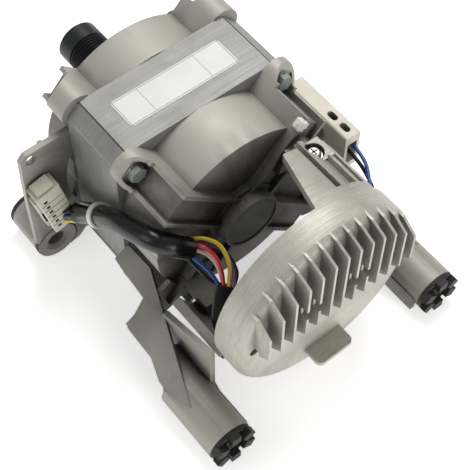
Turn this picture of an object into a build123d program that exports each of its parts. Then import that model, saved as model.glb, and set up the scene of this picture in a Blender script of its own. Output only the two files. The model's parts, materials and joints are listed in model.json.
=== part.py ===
from build123d import *
import os
from math import sin, cos, tan, radians, degrees, pi, sqrt, hypot, atan2

os.makedirs("parts", exist_ok=True)

# Washing machine motor with a finned controller drum behind it.
# Working frame: shaft axis along Y (pulley end +Y), stator mid-plane at Y = 0, +Z up.
# The finished assembly is shifted so that its origin is the bottom centre of its box.
# All dimensions in millimetres.

# ---------------------------------------------------------------- dimensions
STACK_L = 50.0          # lamination pack length
STACK_H = 65.0          # half width across flats
STACK_F = 55.5          # half width of each flat, the rest is the corner chamfer
STATOR_BORE_R = 33.5
YOKE_R = 56.0
SLOTS = 12
BOLT_D = 79.8           # distance of the through bolts from the axis
BOLT_R = 2.5
BOLT_HEAD_AF = 10.0
BOLT_SEAT = 32.2        # seat of the bolt washers, behind the stator mid-plane

ROTOR_R = 32.8
SHAFT_R = 10.0
SHAFT_R_FRONT = 8.5     # seat of the front bearing and pulley
SHAFT_R_REAR = 7.5      # seat of the rear bearing
FB_OD, FB_ID, FB_W = 40.0, 17.0, 12.0
RB_OD, RB_ID, RB_W = 35.0, 15.0, 11.0
FB_Y = 58.5             # front bearing, inner face
RB_Y = -60.0            # rear bearing, inner face

BELL_R = 65.0
BELL_WALL = 2.8
BELL_REAR_Y = -63.0
SPOKE_OUT = 12.0        # half width over a spoke's two walls
SPOKE_IN = 9.0          # half width of the trough between them
SPOKE_RIM_Y = -70.0
SPOKE_FLOOR_Y = -66.8
LUG_FLOOR_D = 73.0
LUG_RIM_D = 77.0
HUB_R = 21.0
HUB_END_Y = -76.4

FRONT_BELL_R = 66.0
FRONT_BELL_Y = 54.5
PULLEY_R = 15.8
PULLEY_Y0, PULLEY_Y1 = 77.0, 117.0
PULLEY_RIBS = 7
RIB_PITCH = 2.34

TUBE_X, TUBE_Z = 87.4, -61.2
TUBE_R_REAR, TUBE_R_FRONT = 15.5, 15.0
TUBE_WALL = 3.0
REAR_TUBE_END = -163.0
BUSH_BORE_R = 6.2       # bore of the steel sleeve
SLEEVE_R = 7.8

CAP_R = 70.0
CAP_Y0, CAP_Y1 = -126.0, -148.5
CAP_WALL = 3.0
CAP_EDGE_R = 7.0
UP_X, UP_Y = 37.0, -87.4   # screw of the upper right arm
FIN_TIP_Y = -161.0
FIN_PITCH = 9.33
FIN_T = 1.7
FIN_N = 13
FIN_TIP_R = 64.5

LEAD_R = 1.25


# ---------------------------------------------------------------- helpers
def cyl_y(r, y0, y1, x=0.0, z=0.0):
    return Pos(x, (y0 + y1) / 2, z) * Rot(90, 0, 0) * Cylinder(r, abs(y1 - y0))


def tube_y(ro, ri, y0, y1, x=0.0, z=0.0):
    return cyl_y(ro, y0, y1, x, z) - cyl_y(ri, min(y0, y1) - 1, max(y0, y1) + 1, x, z)


def cyl_z(r, z0, z1, x=0.0, y=0.0):
    return Pos(x, y, (z0 + z1) / 2) * Cylinder(r, abs(z1 - z0))


def cyl_x(r, x0, x1, y=0.0, z=0.0):
    return Pos((x0 + x1) / 2, y, z) * Rot(0, 90, 0) * Cylinder(r, abs(x1 - x0))


def box(x0, x1, y0, y1, z0, z1):
    return Pos((x0 + x1) / 2, (y0 + y1) / 2, (z0 + z1) / 2) * Box(abs(x1 - x0), abs(y1 - y0), abs(z1 - z0))


def prism_y(pts, y0, y1):
    """Polygon given as (x, z), extruded from y0 to y1."""
    face = make_face(Plane.XZ * Polyline(*pts, close=True))
    s = extrude(face, amount=y1 - y0, dir=(0, 1, 0))
    return Pos(0, y0, 0) * s


def prism_z(pts, z0, z1):
    face = make_face(Polyline(*[(x, y, 0) for x, y in pts], close=True))
    return Pos(0, 0, z0) * extrude(face, amount=z1 - z0, dir=(0, 0, 1))


def prism_x(pts, x0, x1):
    """Polygon given as (y, z), extruded from x0 to x1."""
    face = make_face(Plane.YZ * Polyline(*pts, close=True))
    return Pos(x0, 0, 0) * extrude(face, amount=x1 - x0, dir=(1, 0, 0))


def revolve_y(pts):
    """Profile given as (r, y), turned about the shaft axis."""
    face = make_face(Polyline(*[(r, y, 0) for r, y in pts], close=True))
    return revolve(face, Axis.Y, 360)


def spin(shape, deg):
    return Rot(0, deg, 0) * shape


def group(parts):
    solids = []
    for p in parts:
        solids += list(p.solids())
    return Compound(solids)


def mirror_x(shape):
    return mirror(shape, about=Plane.YZ)


def try_fillet(shape, chooser, r):
    try:
        e = chooser(shape)
        if len(e) == 0:
            return shape
        out = fillet(e, r)
        return out if out.is_valid else shape
    except Exception:
        return shape


NODES = {}
PATHS = {}


def lead(points, r, name):
    """Round lead through points: straight runs joined by tangent arcs."""
    p = [Vector(*q) for q in points]
    if len(p) == 2:
        d = p[1] - p[0]
        print(f"{name}: straight, length {d.length:.1f} mm")
        return extrude(Plane(origin=p[0], z_dir=d.normalized()) * Circle(r), amount=d.length)
    radii = []
    for i in range(1, len(p) - 1):
        a, b = p[i] - p[i - 1], p[i + 1] - p[i]
        turn = a.get_angle(b)
        run = min(a.length, b.length)
        radii.append(0.45 * run / tan(radians(turn) / 2))
    path = FilletPolyline(*points, radius=radii)
    start = p[0]
    d = (p[1] - p[0]).normalized()
    prof = Plane(origin=start, z_dir=d) * Circle(r)
    s = sweep(prof, path=path)
    want = pi * r * r * path.length
    PATHS[name] = path
    print(f"{name}: length {path.length:.1f} mm, radii " + " ".join(f"{x:.0f}" for x in radii) +
          f", volume {s.volume:.0f} of {want:.0f}")
    return s


S2 = sqrt(0.5)


def diag(shape, quadrant):
    """A shape built on the +X axis as (d, s) is turned to the diagonal of a quadrant.
    Quadrants: 0 right up, 1 left up, 2 left down, 3 right down."""
    return Rot(0, -(45 + 90 * quadrant), 0) * shape


# ---------------------------------------------------------------- stator
def octagon(h, f):
    return [(-f, h), (f, h), (h, f), (h, -f), (f, -h), (-f, -h), (-h, -f), (-h, f)]


stack = prism_y(octagon(STACK_H, STACK_F), -STACK_L / 2, STACK_L / 2)
stack -= cyl_y(STATOR_BORE_R, -40, 40)
wedge = prism_y([(STATOR_BORE_R + 3.2, -4.4), (STATOR_BORE_R + 3.2, 4.4), (YOKE_R, 9.6), (YOKE_R, -9.6)], -40, 40)
mouth = box(STATOR_BORE_R - 2, STATOR_BORE_R + 4, -40, 40, -1.3, 1.3)
for k in range(SLOTS):
    a = (k + 0.5) * 360 / SLOTS
    stack -= spin(wedge + mouth, a)
for q in range(4):
    # bolt hole and the shallow weld groove beside each corner chamfer
    stack -= diag(cyl_y(BOLT_R + 0.3, -40, 40, BOLT_D, 0), q)
for sx in (-1, 1):
    for sz in (-1, 1):
        stack -= box(sx * (STACK_F - 0.2), sx * (STACK_F + 1.0), -40, 40, sz * (STACK_H - 1.6), sz * (STACK_H + 1))
for sx in (-1, 1):
    for sz in (-1, 1):
        stack += cyl_y(0.9, -STACK_L / 2, STACK_L / 2, sx * (STACK_H - 0.2), sz * (STACK_F - 0.6))
NODES["stator_stack"] = stack

# concentrated coils, one round each tooth
coils = []
c_out = prism_x([(-31.5, -8.0), (31.5, -8.0), (31.5, 8.0), (-31.5, 8.0)], 39.6, 53.6)
c_taper = prism_y([(39.6, -7.2), (39.6, 7.2), (53.6, 9.9), (53.6, -9.9)], -32, 32)
c_in = box(30, 60, -27.2, 27.2, -5.8, 5.8)
coil = (c_out & c_taper) - c_in
coil = try_fillet(coil, lambda s: s.edges().filter_by(Axis.X).group_by(SortBy.LENGTH)[-1], 1.2)
for k in range(SLOTS):
    coils.append(spin(coil, k * 360 / SLOTS))
# teeth are narrower than the coil window, so the coils stand clear of the iron
NODES["stator_coils"] = group(coils)

# insulating end frames between iron and end turns, and the black covers over the end turns
def end_frame(s):
    ring = tube_y(57.6, 54.4, s * 25.1, s * 34.0)
    lip = tube_y(38.8, 36.9, s * 25.1, s * 33.0)
    foot = tube_y(57.6, 36.9, s * 25.1, s * 26.3)
    for k in range(SLOTS):
        foot -= spin(box(39.0, 54.2, s * 25.0, s * 27, -9.9, 9.9), k * 360 / SLOTS)
    return ring + lip + foot


NODES["front_end_frame"] = end_frame(1)
NODES["rear_end_frame"] = end_frame(-1)


def winding_cover(s, y0, y1):
    return revolve_y([(61.2, s * y0), (61.2, s * (y1 - 4)), (57.2, s * y1), (30.5, s * y1), (30.5, s * (y1 - 2.2)),
                      (56.3, s * (y1 - 2.2)), (59.0, s * (y1 - 4.9)), (59.0, s * y0)])


NODES["rear_winding_cover"] = winding_cover(-1, 25.3, 48.0)
NODES["front_winding_cover"] = winding_cover(1, 25.3, 42.0)

# ---------------------------------------------------------------- rotor
rotor = tube_y(29.4, SHAFT_R, -25, 25)
for k in range(6):
    rotor -= spin(cyl_y(4.2, -30, 30, 19.5, 0), 60 * k)
NODES["rotor_core"] = rotor
mag = []
ring = tube_y(ROTOR_R, 29.4, -24.5, 24.5)
for k in range(8):
    half = 360 / 16 - 1.6
    w = prism_y([(0, 0), (60, -60 * tan(radians(half))), (60, 60 * tan(radians(half)))], -30, 30)
    mag.append(spin(ring & w, 45 * k))
NODES["rotor_magnets"] = group(mag)

NODES["shaft"] = revolve_y([(0, -73.0), (SHAFT_R_REAR - 0.8, -73.0), (SHAFT_R_REAR, -72.2), (SHAFT_R_REAR, RB_Y),
                            (SHAFT_R, RB_Y), (SHAFT_R, FB_Y), (SHAFT_R_FRONT, FB_Y), (SHAFT_R_FRONT, 115.2),
                            (SHAFT_R_FRONT - 1.0, 116.2), (0, 116.2)])

# ribbed belt pulley, hollow at its outer end
prof = [(SHAFT_R_FRONT, PULLEY_Y0), (13.2, PULLEY_Y0), (PULLEY_R, PULLEY_Y0 + 1.0)]
y = PULLEY_Y0 + 11.0
prof += [(PULLEY_R, y - 0.3)]
for k in range(PULLEY_RIBS):
    prof += [(PULLEY_R - 2.0, y + 0.75), (PULLEY_R - 2.0, y + 1.05), (PULLEY_R - 0.35, y + RIB_PITCH - 0.35), (PULLEY_R - 0.35, y + RIB_PITCH)]
    y += RIB_PITCH
prof += [(PULLEY_R - 0.35, PULLEY_Y1 - 0.8), (PULLEY_R - 1.2, PULLEY_Y1), (11.8, PULLEY_Y1), (10.6, PULLEY_Y1 - 3.0),
         (SHAFT_R_FRONT, PULLEY_Y1 - 3.0)]
NODES["drive_pulley"] = revolve_y(prof)


def bearing(prefix, od, idd, w, y0, sgn):
    """Deep-groove ball bearing with a crown cage: y0 is its inner face, sgn the outward direction."""
    y1 = y0 + sgn * w
    ym = (y0 + y1) / 2
    ro, ri = od / 2, idd / 2
    rm = (ro + ri) / 2
    rb = (ro - ri) * 0.29
    t = (ro - ri) * 0.27
    groove = Pos(0, ym, 0) * Rot(90, 0, 0) * Torus(rm, rb + 0.08)
    outer = tube_y(ro, ro - t, y0, y1) - groove
    inner = tube_y(ri + t, ri, y0, y1) - groove
    NODES[prefix + "_bearing_outer_ring"] = outer
    NODES[prefix + "_bearing_inner_ring"] = inner
    n = 8
    balls = []
    pockets = tube_y(rm + 1.2, rm - 1.2, ym - sgn * (rb + 1.3), ym + sgn * 1.4)
    for k in range(n):
        a = radians(360 * k / n)
        balls.append(Pos(rm * cos(a), ym, rm * sin(a)) * Sphere(rb))
        pockets -= Rot(0, -360 * k / n, 0) * cyl_x(rb + 0.12, rm - 5, rm + 5, ym, 0)
    NODES[prefix + "_bearing_balls"] = group(balls)
    NODES[prefix + "_bearing_cage"] = pockets
    return rm, rb


FB = bearing("front", FB_OD, FB_ID, FB_W, FB_Y, 1)
RB = bearing("rear", RB_OD, RB_ID, RB_W, RB_Y, -1)

# wave washer behind the rear bearing and the retaining ring of the front one
wave = tube_y(16.6, 13.6, -71.15, -71.75)
NODES["wave_washer"] = wave
NODES["bearing_retaining_ring"] = tube_y(21.0, 17.6, FB_Y + 12.15, FB_Y + 13.75) - box(-3, 3, FB_Y + 10, FB_Y + 20, 0, 30)

# speed sensing: magnet ring on the shaft, small board beside it
NODES["sensor_magnet"] = tube_y(17.0, SHAFT_R, -50.5, -44.0)
sb = box(19.5, 21.1, -56.5, -42.5, -9, 9) + box(21.1, 26.5, -52.5, -50.5, -7, 7)
NODES["sensor_board"] = sb

# ---------------------------------------------------------------- front shield
def lug(y_seat, y_end, y_floor, y_boss, sgn, rim_d):
    """Corner lug on the +X axis, later turned to a diagonal: boss at the stack with an oblique end,
    then an outward-open trough whose walls run to the end face."""
    ys = sgn * 25.0
    block = box(57, rim_d, ys, sgn * y_end, -SPOKE_OUT, SPOKE_OUT)
    boss = cyl_y(SPOKE_OUT, ys, sgn * y_boss, BOLT_D, 0)
    boss -= Pos(BOLT_D + 12.4, sgn * (y_boss - 1.2), 0) * Rot(0, 0, -sgn * 32) * Box(60, 16, 40)
    bridge = box(60, BOLT_D, ys, sgn * y_boss, -SPOKE_OUT, SPOKE_OUT)
    s = block + boss + bridge
    pocket = cyl_y(SPOKE_IN, sgn * y_seat, sgn * (y_end + 30), BOLT_D + 0.0, 0)
    pocket += box(LUG_FLOOR_D, BOLT_D, sgn * y_seat, sgn * (y_end + 30), -SPOKE_IN, SPOKE_IN)
    cut_floor = box(60, LUG_FLOOR_D, sgn * (y_seat - 20), sgn * (y_end + 40), -20, 20)
    pocket -= cut_floor
    s -= pocket
    s -= cyl_y(BOLT_R, -90, 90, BOLT_D, 0)
    return s


# rear shield -------------------------------------------------------
rear = tube_y(BELL_R, BELL_R - BELL_WALL, -25.0, BELL_REAR_Y)
rear += tube_y(BELL_R - 0.2, 61.6, -25.0, -28.5)
for q in range(4):
    w = lug(BOLT_SEAT, -SPOKE_RIM_Y, -SPOKE_FLOOR_Y, 39.5, -1, LUG_RIM_D)
    w -= cyl_y(BELL_R - BELL_WALL, -70 + 12.5, -20, 0, 0)
    rear += diag(w, q)
    spoke = box(14, 66, -58.0, SPOKE_RIM_Y, -SPOKE_OUT, SPOKE_OUT)
    rear += diag(spoke, q)
for q in range(4):
    rear -= diag(box(5, 90, SPOKE_FLOOR_Y, -80, -SPOKE_IN, SPOKE_IN), q)
hub = cyl_y(HUB_R, -57.0, HUB_END_Y)
rear += hub
# closed end wall between the spokes, with one hole for the winding leads
rear += tube_y(BELL_R - 0.6, HUB_R - 2.0, -60.4, BELL_REAR_Y)
rear += cyl_y(HUB_R + 3.0, -57.0, -68.0)
rear -= cyl_y(RB_OD / 2, -50.0, RB_Y - RB_W - 0.8)
rear -= cyl_y(10.6, -50.0, -64.0, 45.5, 11.0)
rear -= cyl_y(11.5, -50.0, -74.2)
# raised rim round the hub face
rear -= cyl_y(HUB_R - 1.7, HUB_END_Y + 0.7, HUB_END_Y - 1.0)
for q in range(4):
    rear -= diag(cyl_y(BOLT_R + 0.3, -20, -45, BOLT_D, 0), q)


def leg():
    """Left rear leg: tube, inclined outer plate from the bell to the tube, upright inner web and bulkhead."""
    tube = cyl_y(TUBE_R_REAR, -93.0, REAR_TUBE_END, -TUBE_X, TUBE_Z)
    # the front end of the tube is cut back on its outer side
    tube -= prism_z([(-110, -80), (-110, -113.5), (-101.5, -113.5), (-92, -103), (-84, -94), (-80, -80)], -90, -30)
    pts = [(3.0, -25.3), (15.6, -25.3), (16.8, -33.5), (18.8, -59.9), (39.5, -66.2), (40.5, -92.8), (46.5, -108.0), (47.0, -117.0), (41.7, -135.6),
           (36.5, -124.0), (2.3, -48.9)]
    plate = prism_z(pts, -3.4, 0.0)
    plate = Pos(-60.0, 0, -27.0) * Rot(0, -30, 0) * (mirror_x(plate))
    # upright web on the inner side of the tube
    web = prism_x([(-64, -62), (-64, -50), (-80, -31), (-127.5, -15), (-127.5, -56), (-133, -61),
                   (-160, -61), (-160, -75.0), (-96, -75.0), (-70, -64)], -74.6, -70.8)
    bulk = prism_y([(-58, -27), (-46, -46), (-54, -56), (-70.8, -62), (-74.6, -64), (-80, -62), (-93.0, -48.0)], -66.0, -62.6)
    s = tube + plate + web + bulk
    s -= cyl_y(TUBE_R_REAR - TUBE_WALL, -60, REAR_TUBE_END - 5, -TUBE_X, TUBE_Z)
    s -= cyl_y(BELL_R - BELL_WALL - 0.01, -90, -20)
    s -= box(-120, 0, -200, -20, -90, -76.7)
    return s


left_leg = leg()
rear += left_leg + mirror_x(left_leg)
# clear the channels and bolt heads again
for q in range(4):
    rear -= diag(cyl_y(SPOKE_IN - 3.0, -BOLT_SEAT, -52, BOLT_D, 0), q)

# pillars that carry the controller drum's arms
def pillar(dx, ys):
    p = box(33.5 + dx, 50.5 + dx, ys - 7.5, -64.0, 31.0, 45.4)
    p += prism_y([(24, 24), (33, 42), (46, 46), (52, 40), (40, 20)], -71.0, -60.0)
    p -= tube_y(90, 62.9, -66.0, -100.0)
    p -= cyl_z(1.9, 33, 60, 42.0 + dx, ys)
    return p


rear += pillar(UP_X - 42.0, UP_Y)
rear += Rot(0, 180, 0) * pillar(0.0, -85.5)
# pad for the right connector block
rear += box(60.5, 74.7, -56.0, -38.0, 4.0, 14.0) - cyl_y(BELL_R - 1.0, -70, -20)
NODES["rear_shield"] = rear

# front shield -------------------------------------------------------
front = tube_y(FRONT_BELL_R, FRONT_BELL_R - 3.0, 25.0, FRONT_BELL_Y)
front += revolve_y([(FRONT_BELL_R - 1.0, 51.0), (FRONT_BELL_R - 0.2, 53.0), (62.0, 55.8), (32.0, 60.0), (25.5, 63.5), (24.6, 73.2), (23.8, 74.0),
                    (18.0, 74.0), (18.0, 60.0), (26.0, 56.0), (60.0, 51.8), (62.6, 50.0)])
front -= cyl_y(FB_OD / 2, FB_Y, 100.0)
front += tube_y(FB_OD / 2 + 5.0, 14.0, 55.2, FB_Y)
front -= tube_y(21.2, 17.0, FB_Y + 12.05, FB_Y + 13.85)
for q in range(4):
    w = lug(48.0, 55.0, 52.0, 50.0, 1, 79.0)
    w -= cyl_y(FRONT_BELL_R - 3.0, 20, 57)
    front += diag(w, q)
for a in (30.0, 49.3, 130.7, 150.0, 210.0, 229.3, 310.7, 330.0):
    front += Rot(0, 90 - a, 0) * prism_x([(52.0, 59), (53.5, 65.6), (59.5, 65.6), (61.5, 63.0), (67.0, 34.0), (71.0, 23.5), (59.0, 23.5), (54.0, 55)], -1.7, 1.7)


def wing():
    """Left wing plate with its mounting tube."""
    pts = [(-58, 43), (-97, 43), (-101.5, 38.5), (-102.5, 0), (-102.5, -52), (-90, -60), (-78, -74), (-70, -72), (-52, -54), (-44, -48), (-44, 30)]
    plate = prism_y(pts, 25.2, 29.4)
    tube = cyl_y(TUBE_R_FRONT, 30.0, 57.0, -TUBE_X, TUBE_Z)
    gus = prism_y([(-60, -30), (-80, -44), (-97, -46), (-102.0, -54), (-102.0, -62), (-84, -75), (-66, -66), (-48, -50)], 29.3, 34.0)
    rib = prism_x([(29, 38), (34, 38), (50, -50), (29, -56)], -84.0, -81.0)
    plate -= cyl_y(TUBE_R_FRONT + 0.8, 20, 30.0, -TUBE_X, TUBE_Z)
    s = plate + tube + gus + rib
    s -= cyl_y(TUBE_R_FRONT - TUBE_WALL, 20, 70, -TUBE_X, TUBE_Z)
    s -= cyl_y(4.0, 20, 40, -94.0, 36.5)
    # lens-shaped slit beside the stack
    lens = cyl_y(62, 20, 40, -10.0, -5.0) & cyl_y(62, 20, 40, -125.6, -5.0)
    s -= lens
    s -= cyl_y(FRONT_BELL_R - 3.0, 20, 70)
    return s


wl = wing()
wr = mirror_x(wl) - box(50, 120, 20, 60, -20, 60)
front += wl + wr
for q in range(4):
    front -= diag(cyl_y(BOLT_R, 20, 46, BOLT_D, 0), q)
NODES["front_shield"] = front

# ---------------------------------------------------------------- through bolts
bolts, washers = [], []
for q in range(4):
    hexa = Pos(BOLT_D, -BOLT_SEAT - 3.5, 0) * Rot(90, 0, 0) * extrude(RegularPolygon(BOLT_HEAD_AF / 2 / cos(pi / 6), 6), amount=2.1, both=True)
    shank = cyl_y(BOLT_R, -34.0, 40.0, BOLT_D, 0)
    bolts.append(diag(hexa + shank, q))
    washers.append(diag(tube_y(5.9, BOLT_R + 0.15, -BOLT_SEAT - 0.05, -BOLT_SEAT - 1.25, BOLT_D, 0), q))
NODES["through_bolts"] = group(bolts)
NODES["bolt_washers"] = group(washers)

# ---------------------------------------------------------------- mounting bushes
def rear_bush():
    b = cyl_y(TUBE_R_REAR - TUBE_WALL - 0.02, -128, -165.6, -TUBE_X, TUBE_Z)
    b += cyl_y(TUBE_R_REAR - 0.4, REAR_TUBE_END, -165.8, -TUBE_X, TUBE_Z)
    for k in range(6):
        a = radians(60 * k + 30)
        nub = Pos(-TUBE_X + 11.6 * cos(a), -167.7, TUBE_Z + 11.6 * sin(a)) * Rot(0, -degrees(a), 0) * Box(7.4, 5.0, 6.8)
        b += nub
    b -= cyl_y(SLEEVE_R, -100, -180, -TUBE_X, TUBE_Z)
    for k in range(6):
        a = radians(60 * k)
        b -= cyl_y(1.9, -150, -180, -TUBE_X + 10.6 * cos(a), TUBE_Z + 10.6 * sin(a))
    return b


def front_bush():
    b = cyl_y(TUBE_R_FRONT - TUBE_WALL - 0.02, 28.0, 58, -TUBE_X, TUBE_Z)
    b += cyl_y(TUBE_R_FRONT - 0.2, 57.0, 60.4, -TUBE_X, TUBE_Z)
    b += cyl_y(TUBE_R_FRONT + 0.3, 26.6, 29.2, -TUBE_X, TUBE_Z)
    b -= cyl_y(SLEEVE_R, 10, 80, -TUBE_X, TUBE_Z)
    return b


rb_ = rear_bush()
fb_ = front_bush()
NODES["rear_bushes"] = group([rb_, mirror_x(rb_)])
NODES["front_bushes"] = group([fb_, mirror_x(fb_)])
rs_ = tube_y(SLEEVE_R, BUSH_BORE_R, -127.0, -165.0, -TUBE_X, TUBE_Z)
fs_ = tube_y(SLEEVE_R, BUSH_BORE_R, 25.0, 59.6, -TUBE_X, TUBE_Z) + tube_y(TUBE_R_FRONT - 0.2, BUSH_BORE_R, 25.0, 26.6, -TUBE_X, TUBE_Z)
fs_ -= Pos(-TUBE_X, 26.3, TUBE_Z) * Rot(90, 0, 0) * Cone(BUSH_BORE_R, 8.8, 2.6)
NODES["rear_bush_sleeves"] = group([rs_, mirror_x(rs_)])
NODES["front_bush_sleeves"] = group([fs_, mirror_x(fs_)])

# ---------------------------------------------------------------- controller drum
cap = revolve_y([(CAP_R, CAP_Y0)] + [(CAP_R - CAP_EDGE_R * (1 - cos(radians(a))), CAP_Y1 + CAP_EDGE_R * (1 - sin(radians(a)))) for a in (0, 15, 30, 45, 60, 75, 90)] + [
                 (0, CAP_Y1), (0, CAP_Y1 + CAP_WALL), (CAP_R - CAP_WALL, CAP_Y1 + CAP_WALL), (CAP_R - CAP_WALL, CAP_Y0)])
# fins on the upper half of the rear face
fin_all = None
for k in range(FIN_N):
    x = (k - FIN_N // 2) * FIN_PITCH - 0.6
    r_root = sqrt(max(CAP_R ** 2 - x ** 2, 1.0))
    r_tip = sqrt(max(FIN_TIP_R ** 2 - x ** 2, 1.0))
    zt0, zt1 = r_root - 0.4, r_tip
    if abs(x) > 52:
        zt0 = r_root - 1.5
    zb = 8.4
    y_in = CAP_Y1 + 7.0
    pts = [(y_in, zt0 + 0.2), (CAP_Y1 - 1.0, zt0 - 0.2), (FIN_TIP_Y + 1.0, zt1 + 0.3), (FIN_TIP_Y, zt1 - 0.8)]
    if k in (3, 4, 7, 8):
        pts += [(FIN_TIP_Y, 33.4), (FIN_TIP_Y + 5.2, 33.4), (FIN_TIP_Y + 5.2, 25.2), (FIN_TIP_Y, 25.2)]
    pts += [(FIN_TIP_Y, zb), (CAP_Y1 + 1.0, zb - 12.0), (y_in, zb)]
    f = prism_x(pts, x - FIN_T / 2, x + FIN_T / 2)
    fin_all = f if fin_all is None else fin_all + f
cap += fin_all


def sector(r0, r1, a0, a1, y0, y1):
    n = 3
    big = 200
    pts = [(0, 0)] + [(big * cos(radians(a0 + (a1 - a0) * i / n)), big * sin(radians(a0 + (a1 - a0) * i / n))) for i in range(n + 1)]
    return tube_y(r1, r0, y0, y1) & prism_y(pts, min(y0, y1), max(y0, y1))


# upper right arm: curved shell with grooves between its ribs, screw pocket near its front end
arm = sector(63.5, 66.8, 42, 92, -79.0, CAP_Y0 - 2.0)
for a0, a1, ya in ((69.0, 92.0, -84.5), (61.6, 65.2, -80.0), (50.0, 53.4, -95.0), (42.0, 46.2, -80.0)):
    arm += sector(66.0, CAP_R, a0, a1, ya, CAP_Y0 - 3.0)
arm += sector(66.0, CAP_R, 42.0, 92.0, -120.0, CAP_Y0 - 3.0)
arm += box(UP_X - 8.5, UP_X + 9.0, UP_Y - 8.5, -79.5, 45.6, 55.0)
arm -= prism_z([(-20, -60), (28.0, -60), (28.0, -80), (26.0, -83.5), (17.0, -83.0), (14.0, -85.0), (3.5, -127.0), (-20, -127.0)], 40, 80)
arm -= prism_z([(36, -60), (70, -60), (70, -102), (52.5, -90), (50.0, -82.0), (47, -79.5)], 30, 80)
arm -= cyl_z(6.6, 50.6, 80, UP_X, UP_Y)
arm -= cyl_z(2.3, 40, 80, UP_X, UP_Y)
cap += arm
# lower left arm with two raised rails along its upper edge
arm2 = sector(66.0, CAP_R, 22, 84, -80.0, CAP_Y0 - 3.0)
arm2 += sector(66.0, 72.4, 21.0, 23.4, -80.0, CAP_Y0 - 1.0)
arm2 += sector(66.0, 72.4, 26.6, 28.8, -80.0, CAP_Y0 - 1.0)
arm2 += box(33.5, 51.0, -93.0, -78.0, 45.6, 56.0)
arm2 -= cyl_z(5.6, 52.0, 80, 42.0, -85.5)
arm2 -= cyl_z(2.3, 40, 80, 42.0, -85.5)
cap += Rot(0, 180, 0) * arm2
# flat tab on the rear face, and the recessed screw seats beside the fins
tab = box(-14.5, 14.5, -163.0, CAP_Y1 + 1, -51.5, -48.0)
tab = try_fillet(tab, lambda s: s.edges().filter_by(Axis.Z).group_by(Axis.Y)[0], 4.0)
cap += tab
for sx in (-1, 1):
    cap += cyl_y(5.4, CAP_Y1 + 0.5, CAP_Y1 + 9.0, sx * 57.0, 1.0)
    cap -= cyl_y(4.0, CAP_Y1 - 4, CAP_Y1 + 4.6, sx * 57.0, 1.0)
    cap -= cyl_y(1.7, CAP_Y1 - 4, CAP_Y1 + 20, sx * 57.0, 1.0)
# the inside of the drum is kept clear of the arms
cap -= cyl_y(CAP_R - CAP_WALL, CAP_Y0 + 0.5, CAP_Y1 + CAP_WALL + 0.01)
# board standoffs
for a in (60, 120, 240, 300):
    cap += cyl_y(3.2, CAP_Y1 + 2.0, -132.9, 56.0 * cos(radians(a)), 56.0 * sin(radians(a)))
    cap -= cyl_y(1.4, -130.0, -138.0, 56.0 * cos(radians(a)), 56.0 * sin(radians(a)))
NODES["heat_sink_cap"] = cap

cover = cyl_y(CAP_R - CAP_WALL - 0.15, CAP_Y0 - 0.2, CAP_Y0 - 1.7)
cover -= box(-63, -38.0, CAP_Y0 + 1, CAP_Y0 - 4, -43.0, -23.0)
cover -= box(40.0, 60.0, CAP_Y0 + 1, CAP_Y0 - 4, -8.0, 16.0)
NODES["controller_cover"] = cover
board = cyl_y(61.0, -131.2, -132.8) - box(-70, -36, -130, -134, -46.0, -20.0) - box(42, 70, -130, -134, -8, 18)
for a in (60, 120, 240, 300):
    board -= cyl_y(1.6, -130, -134, 56.0 * cos(radians(a)), 56.0 * sin(radians(a)))
NODES["controller_board"] = board
comps = []
for cx, cz in ((-22, 18), (-3, 20), (16, 18)):
    comps.append(cyl_y(8.0, -132.9, -144.6, cx, cz))
bs = []
for a in (60, 120, 240, 300):
    cap_x, cap_z = 56.0 * cos(radians(a)), 56.0 * sin(radians(a))
    bs.append(cyl_y(2.8, -129.4, -131.15, cap_x, cap_z) + cyl_y(1.35, -131.0, -137.0, cap_x, cap_z))
NODES["board_screws"] = group(bs)
NODES["dc_link_capacitors"] = group(comps)
NODES["power_module"] = box(-24, 24, -140.6, -145.4, -34, -12) + box(-22, 22, -133.0, -140.6, -32, -30) + box(-22, 22, -133.0, -140.6, -16, -14)
NODES["board_filter_choke"] = tube_y(11.0, 5.0, -133.0, -144.0, 36, -2)
cs = []
for sx in (-1, 1):
    head = cyl_y(3.4, CAP_Y1 + 2.2, CAP_Y1 + 4.55, sx * 57.0, 1.0) - box(sx * 57 - 0.5, sx * 57 + 0.5, CAP_Y1 + 1, CAP_Y1 + 3.4, -1.5, 3.5) - box(sx * 57 - 2.5, sx * 57 + 2.5, CAP_Y1 + 1, CAP_Y1 + 3.4, 0.5, 1.5)
    cs.append(head + cyl_y(1.6, CAP_Y1 + 4.0, CAP_Y1 + 8.6, sx * 57.0, 1.0))
NODES["cap_rear_screws"] = group(cs)


def pan_screw(z_seat, z_tip, x, y):
    h = cyl_z(4.6, z_seat, z_seat + 3.2, x, y)
    h = try_fillet(h, lambda s: s.edges().group_by(Axis.Z)[-1], 1.9)
    h -= box(x - 0.6, x + 0.6, y - 2.8, y + 2.8, z_seat + 1.5, z_seat + 5) + box(x - 2.8, x + 2.8, y - 0.6, y + 0.6, z_seat + 1.5, z_seat + 5)
    return h + cyl_z(1.9, z_tip, z_seat + 0.5, x, y)


NODES["arm_screw_upper"] = pan_screw(51.9, 35.0, UP_X, UP_Y)
NODES["arm_screw_washer"] = cyl_z(5.6, 50.65, 51.85, UP_X, UP_Y) - cyl_z(2.0, 40, 80, UP_X, UP_Y)
NODES["arm_screw_lower"] = Rot(0, 180, 0) * pan_screw(52.05, 35.0, 42.0, -85.5)

# ---------------------------------------------------------------- label plate
lab = box(-42.0, 40.8, -11.4, 11.8, STACK_H + 0.02, STACK_H + 0.32)
lab = try_fillet(lab, lambda s: s.edges().filter_by(Axis.Z), 3.0)
NODES["label_plate"] = lab

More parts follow.
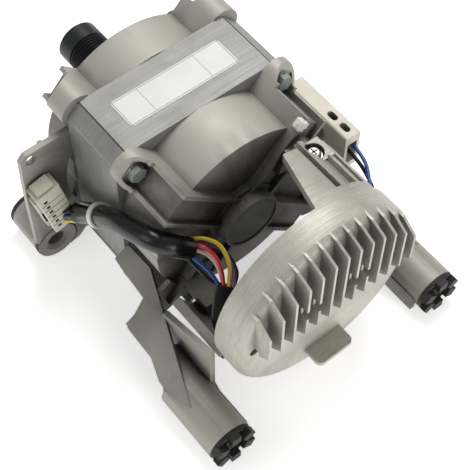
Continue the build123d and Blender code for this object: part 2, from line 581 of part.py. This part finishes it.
# ---------------------------------------------------------------- connectors
lc = box(-9.0, 9.0, 12.0, 24.6, -22.0, 22.0)
lc = try_fillet(lc, lambda q: q.edges().filter_by(Axis.Z), 1.0)
lc += box(-10.9, -8.0, 15.0, 22.5, -14.0, 16.0)
lc += box(-6.5, 6.5, 14.0, 23.5, 21.0, 25.0)
for k in range(6):
    lc -= box(-5.6, -3.0, 10.0, 14.0, -17.9 + 6.4 * k, -15.4 + 6.4 * k)
for k in range(5):
    lc -= box(-8.0, 8.0, 11.0, 12.9, -13.6 + 6.4 * k, -12.9 + 6.4 * k)
lc -= box(-10.2, -9.0, 13.5, 20.5, -9.0, 3.0)
lc = Pos(-88.8, 0, -7.0) * Rot(0, -12, 0) * lc
lc += box(-92.0, -84.0, 24.0, 25.15, -22.0, 4.0)
NODES["left_connector"] = lc

rc = box(75.0, 87.6, -77.6, -20.0, -8.0, 25.0)
rc = try_fillet(rc, lambda s: s.edges().filter_by(Axis.Y), 1.8)
rc -= box(77.4, 85.2, -85.0, -62.0, -3.0, 17.0)
for yy in (-57.4, -69.4):
    rc -= box(78.9, 83.5, yy - 1.9, yy + 1.9, 12.0, 30.0) + cyl_z(2.3, 12, 30, 81.2, yy - 1.9) + cyl_z(2.3, 12, 30, 81.2, yy + 1.9)
NODES["right_connector"] = rc

# ---------------------------------------------------------------- harness
# thick sleeve from the left connector over the bell, beside the left upper spoke
SLEEVE_OUT = 7.2
SLV = [(-76.5, 7.5, -16.6), (-75.6, -4.0, -4.5), (-74.6, -19.0, 8.5), (-72.8, -35.0, 20.0), (-71.0, -50.0, 26.0), (-68.0, -65.0, 31.0), (-60.0, -73.4, 27.2), (-50.0, -75.2, 16.6)]
NODES["harness_sleeve"] = lead(SLV, SLEEVE_OUT, "harness_sleeve")


def band(path_name, dist, r_in, thick, width):
    """Closed tie round a sleeve, square to its route at a distance along it."""
    p = PATHS[path_name]
    t = dist / p.length
    loc = Plane(origin=p @ t, z_dir=p % t)
    return loc * Pos(0, 0, -width / 2) * extrude(Circle(r_in + thick) - Circle(r_in), amount=width)


tie = band("harness_sleeve", 33.0, SLEEVE_OUT + 0.12, 1.3, 4.4)
NODES["sleeve_tie"] = tie

# flat sleeve in front of the drum
FLAT = [(-40.0, -99.8, -4.9), (-46.0, -104.3, -12.7), (-52.0, -110.0, -24.0), (-50.5, -119.0, -31.5), (-47.5, -129.3, -34.0)]
fp = [Vector(*q) for q in FLAT]
frad = []
for i in range(1, len(fp) - 1):
    a, b = fp[i] - fp[i - 1], fp[i + 1] - fp[i]
    frad.append(0.45 * min(a.length, b.length) / tan(radians(a.get_angle(b)) / 2))
fpath = FilletPolyline(*FLAT, radius=frad)
fplane = Plane(origin=fp[0], x_dir=(0.689, -0.715, -0.117), z_dir=(fp[1] - fp[0]).normalized())
NODES["flat_sleeve"] = sweep(fplane * RectangleRounded(13.4, 6.8, 2.2), path=fpath)
print("flat_sleeve: length", round(fpath.length, 1), "radii", [round(x) for x in frad], "volume", round(NODES["flat_sleeve"].volume), "of", round((13.4 * 6.8 - (4 - pi) * 2.2 ** 2) * fpath.length))

# leads from the sleeve to the flat sleeve
WIRE_R = 1.3
MAIN = {
    "yellow": [(-47.4, -71.1, 18.9), (-39.5, -76.6, 20.5), (-32.3, -84.8, 15.9), (-33.4, -95.7, 6.4), (-39.9, -102.0, -4.5)],
    "red": [(-47.9, -74.8, 18.9), (-42.8, -81.4, 19.5), (-39.8, -89.5, 15.4), (-40.4, -96.3, 7.0), (-42.0, -99.8, -4.2)],
    "cream": [(-49.3, -77.6, 18.1), (-43.4, -82.3, 14.8), (-40.2, -88.5, 10.0), (-40.2, -94.5, 2.6), (-40.6, -98.0, -6.2)],
    "blue": [(-51.6, -79.0, 16.4), (-50.2, -82.9, 13.3), (-47.2, -88.0, 8.6), (-45.0, -93.3, 2.8), (-44.0, -97.6, -3.8)],
    "black": [(-53.9, -77.2, 14.2), (-51.4, -83.4, 8.3), (-48.8, -89.1, 2.5), (-46.4, -92.3, -2.2), (-42.6, -96.0, -5.9)],
    "purple": [(-50.5, -70.5, 15.8), (-40.2, -78.7, 16.8), (-31.1, -84.7, 11.1), (-31.4, -95.5, 0.8), (-37.8, -104.1, -4.9)],
    "brown": [(-49.8, -73.9, 12.4), (-37.8, -79.6, 10.4), (-27.6, -87.0, 4.4), (-29.4, -98.2, -4.6), (-36.4, -102.6, -7.6)],
}
# short ends between the left connector and the sleeve
SHORT = {
    "brown": [(-85.8, 12.0, -13.2), (-80.4, 9.4, -12.9)],
    "blue": [(-85.8, 12.0, -18.0), (-81.2, 7.2, -16.3)],
    "yellow": [(-85.8, 12.0, -22.9), (-80.4, 4.2, -19.3)],
    "red": [(-82.0, 12.0, -15.8), (-76.9, 8.8, -14.6)],
    "black": [(-82.0, 12.0, -20.2), (-76.9, 5.9, -17.4)],
}
# leads of the right connector, into the right-hand side of the drum
RIGHT = {
    "blue": [(82.6, -62.1, 13.0), (83.0, -80.0, 12.5), (81.0, -92.0, 11.0), (73.0, -105.0, 8.0), (61.5, -118.0, 4.5), (53.0, -129.5, 3.5)],
    "black": [(79.6, -62.1, 8.0), (80.6, -80.0, 7.6), (79.6, -92.0, 5.6), (76.0, -107.0, 1.0), (63.5, -119.5, -2.5), (54.0, -129.5, -4.0)],
}
# winding leads through the right-hand window of the bell
WIND = {
    "orange": [(44.1, -48.9, 4.2), (46.0, -60.0, 8.0), (50.0, -76.0, 14.5), (52.0, -95.0, 16.0), (48.5, -114.0, 11.5), (45.0, -129.5, 6.0)],
    "purple": [(43.6, -48.9, 7.6), (45.5, -60.0, 11.4), (49.5, -76.0, 17.9), (51.5, -95.0, 19.4), (48.0, -114.0, 14.9), (44.5, -129.5, 9.4)],
    "brown": [(43.1, -48.9, 11.0), (45.0, -60.0, 14.8), (49.0, -76.0, 21.3), (51.0, -95.0, 22.8), (47.5, -114.0, 18.3), (44.0, -129.5, 12.8)],
}
leads = {}
for table, tag in ((MAIN, "main"), (SHORT, "short"), (RIGHT, "right"), (WIND, "winding")):
    for k, pts in table.items():
        leads.setdefault(k, []).append(lead(pts, WIRE_R, f"lead_{k} {tag}"))
for k, parts in leads.items():
    NODES["lead_" + k] = group(parts)
tie2 = Pos(51.5, -97.0, 19.1) * Rot(90, 0, 0) * extrude(RectangleRounded(8.0, 14.8, 2.4) - RectangleRounded(5.6, 12.4, 1.6), amount=2.0, both=True)
NODES["bundle_tie"] = tie2
# tie through the upper right spoke end, its head on the spoke's rim
head = box(68.0, 75.6, -73.2, -66.4, 12.1, 17.6)
head = try_fillet(head, lambda q: q.edges(), 1.5)
head += box(70.0, 74.0, -71.3, -70.06, 7.8, 13.0) + box(70.0, 74.0, -71.3, -66.9, 7.8, 8.94) + box(71.0, 72.6, -70.6, -69.0, 17.0, 20.0)
head = diag(head, 0)
NODES["spoke_tie"] = head

# ---------------------------------------------------------------- export
boxes = [s.bounding_box() for s in NODES.values()]
lo = [min(getattr(b.min, c) for b in boxes) for c in "XYZ"]
hi = [max(getattr(b.max, c) for b in boxes) for c in "XYZ"]
OFF = Pos(-(lo[0] + hi[0]) / 2, -(lo[1] + hi[1]) / 2, -lo[2])
print("offset of the shaft axis point:", OFF.position)
print("size", [round(h - l, 2) for l, h in zip(lo, hi)])
for name, s in NODES.items():
    out = OFF * s
    export_step(out, f"parts/{name}.step")
print(len(NODES), "nodes")
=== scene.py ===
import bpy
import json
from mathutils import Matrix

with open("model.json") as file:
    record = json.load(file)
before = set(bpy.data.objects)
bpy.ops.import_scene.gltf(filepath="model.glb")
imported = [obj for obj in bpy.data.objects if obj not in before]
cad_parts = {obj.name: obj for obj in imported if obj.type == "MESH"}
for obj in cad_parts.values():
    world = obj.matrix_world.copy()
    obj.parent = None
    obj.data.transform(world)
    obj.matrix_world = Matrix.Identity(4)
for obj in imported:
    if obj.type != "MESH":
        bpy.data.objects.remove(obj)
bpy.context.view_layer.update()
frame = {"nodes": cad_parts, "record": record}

import json
import math
import random

import bmesh
import bpy
from mathutils import Matrix, Vector

random.seed(7)
NODE = frame["nodes"]
OX, OY, OZ = 0.0, 0.0266, 0.0767      # shaft axis at the stator's middle, in this frame


def M(x, y, z):
    """Millimetres from the shaft axis point to metres in the frame."""
    return Vector((x / 1000 + OX, y / 1000 + OY, z / 1000 + OZ))


# ------------------------------------------------------------------ materials
def srgb(r, g, b):
    out = []
    for c in (r, g, b):
        c /= 255
        out.append(c / 12.92 if c <= 0.04045 else ((c + 0.055) / 1.055) ** 2.4)
    return (*out, 1.0)


def new_mat(name):
    m = bpy.data.materials.new(name)
    m.use_nodes = True
    nt = m.node_tree
    for n in list(nt.nodes):
        nt.nodes.remove(n)
    out = nt.nodes.new("ShaderNodeOutputMaterial")
    bsdf = nt.nodes.new("ShaderNodeBsdfPrincipled")
    nt.links.new(bsdf.outputs[0], out.inputs[0])
    return m, nt, bsdf


def coords(nt, scale=(1, 1, 1), rot=(0, 0, 0)):
    tc = nt.nodes.new("ShaderNodeTexCoord")
    mp = nt.nodes.new("ShaderNodeMapping")
    mp.inputs["Scale"].default_value = scale
    mp.inputs["Rotation"].default_value = rot
    nt.links.new(tc.outputs["Object"], mp.inputs["Vector"])
    return mp.outputs[0]


def noise(nt, vec, scale, detail=4.0, rough=0.55):
    n = nt.nodes.new("ShaderNodeTexNoise")
    n.inputs["Scale"].default_value = scale
    n.inputs["Detail"].default_value = detail
    n.inputs["Roughness"].default_value = rough
    nt.links.new(vec, n.inputs["Vector"])
    return n.outputs["Fac"]


def ramp(nt, fac, stops):
    r = nt.nodes.new("ShaderNodeValToRGB")
    el = r.color_ramp.elements
    el[0].position, el[0].color = stops[0]
    el[1].position, el[1].color = stops[-1]
    for p, c in stops[1:-1]:
        e = el.new(p)
        e.color = c
    nt.links.new(fac, r.inputs[0])
    return r.outputs[0]


def g(v):
    return (v, v, v, 1.0)


def mix(nt, a, b, fac, mode="MIX"):
    n = nt.nodes.new("ShaderNodeMix")
    n.data_type = "RGBA"
    n.blend_type = mode
    if isinstance(fac, float):
        n.inputs[0].default_value = fac
    else:
        nt.links.new(fac, n.inputs[0])
    for sock, v in ((6, a), (7, b)):
        if isinstance(v, tuple):
            n.inputs[sock].default_value = v
        else:
            nt.links.new(v, n.inputs[sock])
    return n.outputs[2]


def bump(nt, bsdf, fac, strength, dist):
    b = nt.nodes.new("ShaderNodeBump")
    b.inputs["Strength"].default_value = strength
    b.inputs["Distance"].default_value = dist
    nt.links.new(fac, b.inputs["Height"])
    nt.links.new(b.outputs[0], bsdf.inputs["Normal"])
    return b


def edge_mask(nt, low=0.50, high=0.60):
    geo = nt.nodes.new("ShaderNodeNewGeometry")
    return ramp(nt, geo.outputs["Pointiness"], [(low, g(0)), (high, g(1))])


def painted_recess_shade(nt, col, distance, stops):
    """Painted shade: darker tone in recesses and crevices and under nearby parts, from ambient occlusion."""
    ao = nt.nodes.new("ShaderNodeAmbientOcclusion")
    ao.samples = 8
    ao.inputs["Distance"].default_value = distance
    return mix(nt, col, ramp(nt, ao.outputs["AO"], stops), 1.0, "MULTIPLY")


def cast(name, base, dark, light, rough=0.56, metal=0.35, grain=900.0, bump_s=0.25, mottling=38.0, edge=0.25):
    """Die-cast metal: mottled tone, fine grain, lighter worn edges."""
    m, nt, b = new_mat(name)
    v = coords(nt)
    big = noise(nt, v, mottling, 5.0, 0.6)
    fine = noise(nt, v, grain, 3.0, 0.6)
    col = ramp(nt, big, [(0.30, dark), (0.52, base), (0.74, light)])
    speck = ramp(nt, fine, [(0.38, g(0.86)), (0.55, g(1.0)), (0.72, g(1.08))])
    col = mix(nt, col, speck, 1.0, "MULTIPLY")
    col = mix(nt, col, tuple(min(c * 1.25, 1.0) for c in light[:3]) + (1.0,), edge_mask(nt, 0.515, 0.60), "MIX") if edge else col
    # painted shade: base colour darkened in recesses and under nearby parts by ambient occlusion
    col = painted_recess_shade(nt, col, 0.09, [(0.12, g(0.26)), (0.45, g(0.62)), (0.80, g(1.0))])
    nt.links.new(col, b.inputs["Base Color"])
    b.inputs["Metallic"].default_value = metal
    r = ramp(nt, big, [(0.3, g(min(rough + 0.08, 1))), (0.7, g(rough - 0.06))])
    nt.links.new(r, b.inputs["Roughness"])
    bump(nt, b, fine, bump_s, 0.0002)
    return m


def plain(name, col, vary=0.10, rough=0.45, metal=0.0, scale=60.0, grain=1200.0, bump_s=0.06, coat=0.0, sheen=0.0, painted_shade_distance=0.0):
    m, nt, b = new_mat(name)
    v = coords(nt)
    n1 = noise(nt, v, scale, 4.0)
    n2 = noise(nt, v, grain, 2.0)
    lo = tuple(c * (1 - vary) for c in col[:3]) + (1.0,)
    hi = tuple(min(1.0, c * (1 + vary)) for c in col[:3]) + (1.0,)
    col = ramp(nt, n1, [(0.3, lo), (0.7, hi)])
    # painted shade: darker base colour in slots and recesses by ambient occlusion
    if painted_shade_distance > 0:
        col = painted_recess_shade(nt, col, painted_shade_distance, [(0.15, g(0.06)), (0.45, g(0.55)), (0.75, g(1.0))])
    nt.links.new(col, b.inputs["Base Color"])
    nt.links.new(ramp(nt, n1, [(0.3, g(min(1, rough + 0.07))), (0.7, g(max(0.02, rough - 0.06)))]), b.inputs["Roughness"])
    b.inputs["Metallic"].default_value = metal
    b.inputs["Coat Weight"].default_value = coat
    bump(nt, b, n2, bump_s, 0.0001)
    return m


AL_BASE, AL_DARK, AL_LIGHT = srgb(142, 140, 133), srgb(117, 114, 107), srgb(161, 158, 150)
MAT = {}
MAT["cast_aluminium"] = cast("cast_aluminium_look", AL_BASE, AL_DARK, AL_LIGHT)


def lamination():
    m, nt, b = new_mat("lamination_look")
    tc = nt.nodes.new("ShaderNodeTexCoord")
    sep = nt.nodes.new("ShaderNodeSeparateXYZ")
    nt.links.new(tc.outputs["Object"], sep.inputs[0])
    # sheet edges: fine lines stacked along the shaft
    mul = nt.nodes.new("ShaderNodeMath")
    mul.operation = "MULTIPLY"
    mul.inputs[1].default_value = 2 * math.pi / 0.001
    nt.links.new(sep.outputs["Y"], mul.inputs[0])
    sin = nt.nodes.new("ShaderNodeMath")
    sin.operation = "SINE"
    nt.links.new(mul.outputs[0], sin.inputs[0])
    half = nt.nodes.new("ShaderNodeMath")
    half.operation = "MULTIPLY_ADD"
    half.inputs[1].default_value = 0.5
    half.inputs[2].default_value = 0.5
    nt.links.new(sin.outputs[0], half.inputs[0])
    v = coords(nt, (14, 1300, 14))
    streak = noise(nt, v, 1.0, 4.0, 0.7)
    v2 = coords(nt)
    blot = noise(nt, v2, 60.0, 4.0, 0.6)
    col = ramp(nt, streak, [(0.3, srgb(142, 142, 138)), (0.5, srgb(153, 153, 149)), (0.72, srgb(164, 164, 160))])
    lines = ramp(nt, half.outputs[0], [(0.0, g(0.90)), (0.5, g(1.0)), (1.0, g(1.03))])
    col = mix(nt, col, lines, 1.0, "MULTIPLY")
    col = mix(nt, col, ramp(nt, blot, [(0.35, g(0.88)), (0.65, g(1.05))]), 1.0, "MULTIPLY")
    nt.links.new(col, b.inputs["Base Color"])
    b.inputs["Metallic"].default_value = 0.4
    nt.links.new(ramp(nt, streak, [(0.3, g(0.58)), (0.7, g(0.48))]), b.inputs["Roughness"])
    bump(nt, b, half.outputs[0], 0.3, 0.0001)
    return m


MAT["lamination_steel"] = lamination()


def sanded(name="sanded_aluminium_look"):
    """Pale die-cast drum with sanding streaks round its rim and faint casting marks."""
    m, nt, b = new_mat(name)
    v = coords(nt)
    vs = coords(nt, (60, 900, 60))
    big = noise(nt, v, 30.0, 5.0, 0.6)
    st = noise(nt, vs, 1.0, 3.0, 0.6)
    fine = noise(nt, v, 1100.0, 2.0, 0.5)
    col = ramp(nt, big, [(0.28, srgb(176, 172, 162)), (0.5, srgb(195, 191, 181)), (0.74, srgb(210, 206, 196))])
    col = mix(nt, col, ramp(nt, st, [(0.34, g(0.84)), (0.5, g(1.0)), (0.7, g(1.10))]), 0.55, "MULTIPLY")
    col = mix(nt, col, ramp(nt, fine, [(0.36, g(0.90)), (0.6, g(1.03))]), 0.7, "MULTIPLY")
    # painted shade: base colour darkened in recesses by ambient occlusion
    col = painted_recess_shade(nt, col, 0.03, [(0.12, g(0.40)), (0.5, g(0.80)), (0.85, g(1.0))])
    # base colour darker forward of the drum, over the arms: full tone behind y -130 mm, 0.74 from y -118 mm on
    tc = nt.nodes.new("ShaderNodeTexCoord")
    sep = nt.nodes.new("ShaderNodeSeparateXYZ")
    nt.links.new(tc.outputs["Object"], sep.inputs[0])
    along = nt.nodes.new("ShaderNodeMapRange")
    along.inputs["From Min"].default_value = OY - 0.1300
    along.inputs["From Max"].default_value = OY - 0.1180
    nt.links.new(sep.outputs["Y"], along.inputs["Value"])
    col = mix(nt, col, ramp(nt, along.outputs[0], [(0.0, g(1.0)), (1.0, g(0.74))]), 1.0, "MULTIPLY")
    nt.links.new(col, b.inputs["Base Color"])
    b.inputs["Metallic"].default_value = 0.3
    nt.links.new(ramp(nt, st, [(0.3, g(0.58)), (0.7, g(0.42))]), b.inputs["Roughness"])
    bump(nt, b, fine, 0.25, 0.0002)
    return m


MAT["machined_aluminium"] = sanded()
MAT["zinc_steel"] = plain("zinc_look", srgb(176, 177, 177), 0.12, 0.30, 0.9, 90, painted_shade_distance=0.003)
MAT["dark_steel"] = plain("dark_steel_look", srgb(146, 154, 148), 0.14, 0.42, 0.5, 120)
MAT["bearing_steel"] = plain("bearing_steel_look", srgb(190, 191, 195), 0.06, 0.22, 0.95, 120)
MAT["black_plastic"] = plain("black_plastic_look", srgb(38, 37, 35), 0.18, 0.5, 0.0, 60)
MAT["pulley_black"] = plain("pulley_look", srgb(33, 35, 36), 0.2, 0.42, 0.25, 120)
MAT["rubber_black"] = plain("rubber_look", srgb(38, 37, 34), 0.22, 0.62, 0.0, 90, 900, 0.2)
MAT["magnet_grey"] = plain("magnet_look", srgb(78, 78, 80), 0.12, 0.55, 0.2)
MAT["cream_plastic"] = plain("cream_plastic_look", srgb(220, 215, 198), 0.05, 0.42, painted_shade_distance=0.007)
MAT["pale_plastic"] = plain("pale_plastic_look", srgb(208, 207, 190), 0.06, 0.42, painted_shade_distance=0.005)
MAT["nylon_white"] = plain("nylon_look", srgb(222, 222, 210), 0.06, 0.35)


def label():
    """Blank printed film: pale ground, a thin ruled border and two column rules."""
    m, nt, b = new_mat("label_look")
    tc = nt.nodes.new("ShaderNodeTexCoord")
    sep = nt.nodes.new("ShaderNodeSeparateXYZ")
    nt.links.new(tc.outputs["Object"], sep.inputs[0])

    def op(kind, a, c, d=0.0):
        n = nt.nodes.new("ShaderNodeMath")
        n.operation = kind
        for k, v in enumerate((a, c, d)):
            if isinstance(v, float):
                n.inputs[k].default_value = v
            else:
                nt.links.new(v, n.inputs[k])
        return n.outputs[0]

    cx, cy = OX - 0.0006, OY + 0.0002
    dx = op("SUBTRACT", 0.0414, op("ABSOLUTE", op("SUBTRACT", sep.outputs["X"], cx), 0.0))
    dy = op("SUBTRACT", 0.0116, op("ABSOLUTE", op("SUBTRACT", sep.outputs["Y"], cy), 0.0))
    inset = op("MULTIPLY", op("MINIMUM", dx, dy), 100.0)
    border = ramp(nt, inset, [(0.085, g(1)), (0.095, g(0)), (0.120, g(0)), (0.130, g(1))])
    r1 = op("ABSOLUTE", op("SUBTRACT", sep.outputs["X"], OX - 0.0225), 0.0)
    r2 = op("ABSOLUTE", op("SUBTRACT", sep.outputs["X"], OX + 0.0205), 0.0)
    rule = ramp(nt, op("MULTIPLY", op("MINIMUM", r1, r2), 1000.0), [(0.10, g(0)), (0.16, g(1))])
    inside = ramp(nt, inset, [(0.10, g(0)), (0.11, g(1))])
    v = coords(nt)
    ground = ramp(nt, noise(nt, v, 40.0, 3.0), [(0.3, srgb(214, 214, 209)), (0.7, srgb(226, 226, 221))])
    ink = srgb(70, 70, 70)
    col = mix(nt, ink, ground, border)
    keep = mix(nt, g(1.0), rule, inside)
    col = mix(nt, ink, col, keep)
    nt.links.new(col, b.inputs["Base Color"])
    b.inputs["Roughness"].default_value = 0.34
    bump(nt, b, noise(nt, v, 900.0, 2.0), 0.04, 0.0001)
    return m


MAT["label_film"] = label()
MAT["board_green"] = plain("board_look", srgb(38, 92, 52), 0.12, 0.3)
MAT["component_black"] = plain("component_look", srgb(40, 40, 42), 0.12, 0.45)
MAT["sleeve_black"] = plain("sleeve_look", srgb(19, 19, 20), 0.3, 0.27, 0.0, 140, 700, 0.2, 0.1)


def copper():
    m, nt, b = new_mat("copper_look")
    v = coords(nt)
    w = nt.nodes.new("ShaderNodeTexWave")
    w.inputs["Scale"].default_value = 900.0
    w.inputs["Distortion"].default_value = 1.2
    nt.links.new(v, w.inputs["Vector"])
    nt.links.new(ramp(nt, w.outputs["Fac"], [(0.1, srgb(110, 48, 22)), (0.9, srgb(188, 98, 48))]), b.inputs["Base Color"])
    b.inputs["Metallic"].default_value = 0.5
    b.inputs["Roughness"].default_value = 0.32
    bump(nt, b, w.outputs["Fac"], 0.4, 0.0002)
    return m


MAT["copper_enamel"] = copper()
for nm, c in dict(yellow=(236, 204, 52), red=(205, 44, 58), cream=(236, 222, 204), blue=(34, 84, 160), black=(26, 26, 28), purple=(112, 84, 128), brown=(66, 34, 30), orange=(214, 120, 40)).items():
    MAT["wire_" + nm] = plain("wire_" + nm + "_look", srgb(*c), 0.08, 0.3, 0.0, 120, 900, 0.05, 0.2)

FLANGE = plain("flange_look", srgb(120, 118, 113), 0.12, 0.6, 0.15, 90, 900, 0.15)
slot_of = {s["node"]: s["material_slot"] for s in frame["record"]["subparts"]}
for n, o in NODE.items():
    mat = FLANGE if n == "front_bush_sleeves" else MAT[slot_of[n]]
    if len(o.data.materials) == 0:
        o.data.materials.append(mat)
    for i in range(len(o.material_slots)):
        o.material_slots[i].material = mat

# smooth shading of the curved CAD faces
for n, o in NODE.items():
    for p in o.data.polygons:
        p.use_smooth = True
    mod = o.modifiers.new("weighted", "EDGE_SPLIT")
    mod.split_angle = math.radians(32)

# ------------------------------------------------------------------ floor, light, camera
bpy.ops.mesh.primitive_plane_add(size=6.0, location=(0, 0, 0.0))
floor = bpy.context.object
floor.name = "floor"
fm, fnt, fb = new_mat("floor_look")
fv = coords(fnt)
fn = noise(fnt, fv, 3.0, 2.0)
fnt.links.new(ramp(fnt, fn, [(0.3, srgb(250, 250, 250)), (0.7, srgb(254, 254, 254))]), fb.inputs["Base Color"])
fb.inputs["Roughness"].default_value = 0.9
fb.inputs["Emission Color"].default_value = (1.0, 1.0, 1.0, 1.0)
fb.inputs["Emission Strength"].default_value = 0.55
floor.data.materials.append(fm)

world = bpy.data.worlds.new("studio")
world.use_nodes = True
bpy.context.scene.world = world
bg = world.node_tree.nodes["Background"]
bg.inputs[0].default_value = (1.0, 1.0, 1.0, 1.0)
bg.inputs[1].default_value = 0.27


def area(name, loc, target, size, power, color=(1, 1, 1)):
    d = bpy.data.lights.new(name, "AREA")
    d.shape = "RECTANGLE"
    d.size = size[0]
    d.size_y = size[1]
    d.energy = power
    d.color = color
    o = bpy.data.objects.new(name, d)
    bpy.context.scene.collection.objects.link(o)
    o.location = loc
    o.rotation_euler = (Vector(target) - Vector(loc)).to_track_quat("-Z", "Y").to_euler()
    return o


area("key", (0.45, 0.35, 1.10), (0, 0, 0.08), (0.7, 0.7), 9.5, (1.0, 0.99, 0.97))
area("fill", (0.10, -1.15, 0.40), (0, -0.05, 0.08), (0.9, 0.6), 3.8, (1.0, 0.99, 0.97))
area("left", (-1.0, 0.25, 0.75), (0, 0, 0.08), (0.8, 0.8), 2.0)

cam_d = bpy.data.cameras.new("camera")
cam = bpy.data.objects.new("camera", cam_d)
bpy.context.scene.collection.objects.link(cam)
R = Vector((0.7797362850071775, -0.6260347766311797, 0.009580411867695565))
U = Vector((0.5236682153501938, 0.6604717778526769, 0.5380972318197402))
B = Vector((-0.34319517198694494, -0.4145569793266942, 0.8428283246405391))
cam.matrix_world = Matrix((
    (R.x, U.x, B.x, -0.280472),
    (R.y, U.y, B.y, -0.371311),
    (R.z, U.z, B.z, 0.728893),
    (0, 0, 0, 1)))
cam_d.sensor_width = 36.0
cam_d.sensor_fit = "AUTO"
cam_d.lens = 36.0 * 1233.3 / 470
cam_d.clip_start = 0.01
bpy.context.scene.camera = cam
bpy.context.scene.view_settings.view_transform = "Standard"
